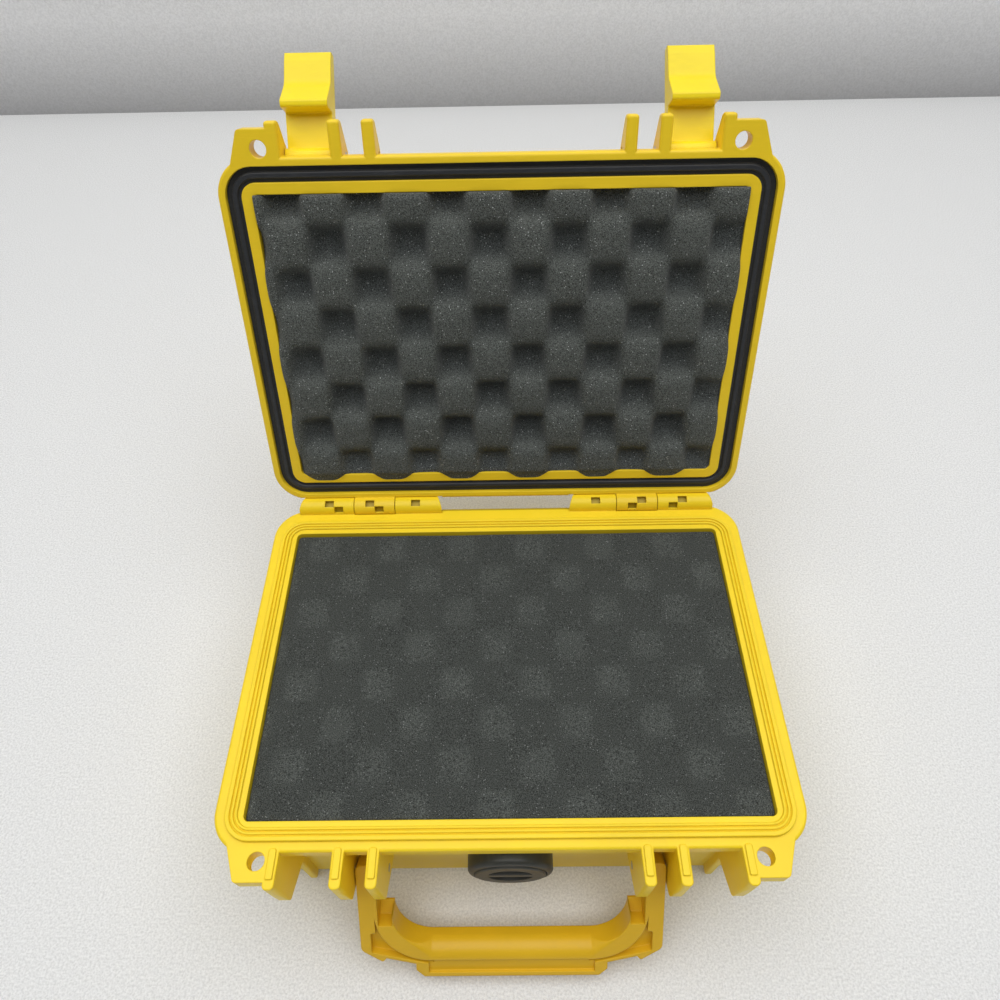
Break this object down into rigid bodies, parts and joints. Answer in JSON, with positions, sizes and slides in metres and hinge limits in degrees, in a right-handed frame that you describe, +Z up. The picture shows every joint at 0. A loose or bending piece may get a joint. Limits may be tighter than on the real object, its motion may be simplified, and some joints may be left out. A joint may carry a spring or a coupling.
{
  "type": "protective case",
  "caption": "Small hard protective case shown open: moulded tub and lid with gasket, over-rim latches, folding handle, purge valve and foam lining.",
  "frame": {"origin": "centre of the underside of the base's ring foot, which is what the case stands on", "axes": "+X to the case's right as seen from the front, -Y to the front (latches, handle and valve), +Z up"},
  "size_m": [0.207, 0.2684, 0.2234],
  "materials": {
    "case_plastic": "satin moulded yellow plastic",
    "latch_plastic": "satin moulded yellow plastic",
    "handle_plastic": "satin moulded yellow plastic",
    "gasket_rubber": "smooth dark rubber",
    "foam": "open-cell charcoal foam",
    "valve_plastic": "satin black plastic",
    "seal_rubber": "black rubber",
    "pin_steel": "plain steel"
  },
  "bodies": {
    "base": {"base_shell": "case_plastic", "base_foam_block": "foam", "base_foam_pad": "foam", "left_hinge_pin": "pin_steel", "right_hinge_pin": "pin_steel", "left_handle_pin": "pin_steel", "right_handle_pin": "pin_steel", "valve_body": "valve_plastic", "valve_body_seal": "seal_rubber", "valve_nut": "valve_plastic"},
    "lid": {"lid_shell": "case_plastic", "lid_gasket": "gasket_rubber", "lid_foam": "foam", "left_latch_pin": "pin_steel", "right_latch_pin": "pin_steel"},
    "left_latch": {"left_latch": "latch_plastic"},
    "right_latch": {"right_latch": "latch_plastic"},
    "handle": {"handle": "handle_plastic"},
    "valve_seal": {"valve_knob_seal": "seal_rubber"},
    "valve_knob": {"valve_knob": "valve_plastic"}
  },
  "joints": [
    {"name": "lid_hinge", "type": "hinge", "parent": "base", "child": "lid", "pos_m": [0, 0.075, 0.0665], "axis": [-1, 0, 0], "range_deg": [-110.8, 0]},
    {"name": "left_latch_pivot", "type": "hinge", "parent": "lid", "child": "left_latch", "pos_m": [-0.06945, 0.1348, 0.19943], "axis": [-1, 0, 0], "range_deg": [-109.4, 0]},
    {"name": "right_latch_pivot", "type": "hinge", "parent": "lid", "child": "right_latch", "pos_m": [0.06945, 0.1348, 0.19943], "axis": [-1, 0, 0], "range_deg": [-109.4, 0]},
    {"name": "handle_pivot", "type": "hinge", "parent": "base", "child": "handle", "pos_m": [0, -0.0714, 0.0408], "axis": [-1, 0, 0], "range_deg": [-37.2, 62.8]},
    {"name": "valve_seal_lift", "type": "slide", "parent": "base", "child": "valve_seal", "axis": [0, -1, 0], "range_m": [0, 0.0015]},
    {"name": "valve_knob_turn", "type": "hinge", "parent": "valve_seal", "child": "valve_knob", "pos_m": [0, -0.0743, 0.042], "axis": [0, -1, 0], "range_deg": [0, 360]}
  ],
  "couplings": [
    {"joint": "valve_seal_lift", "follows": "valve_knob_turn", "m_per_rad": 0.00023873}
  ]
}
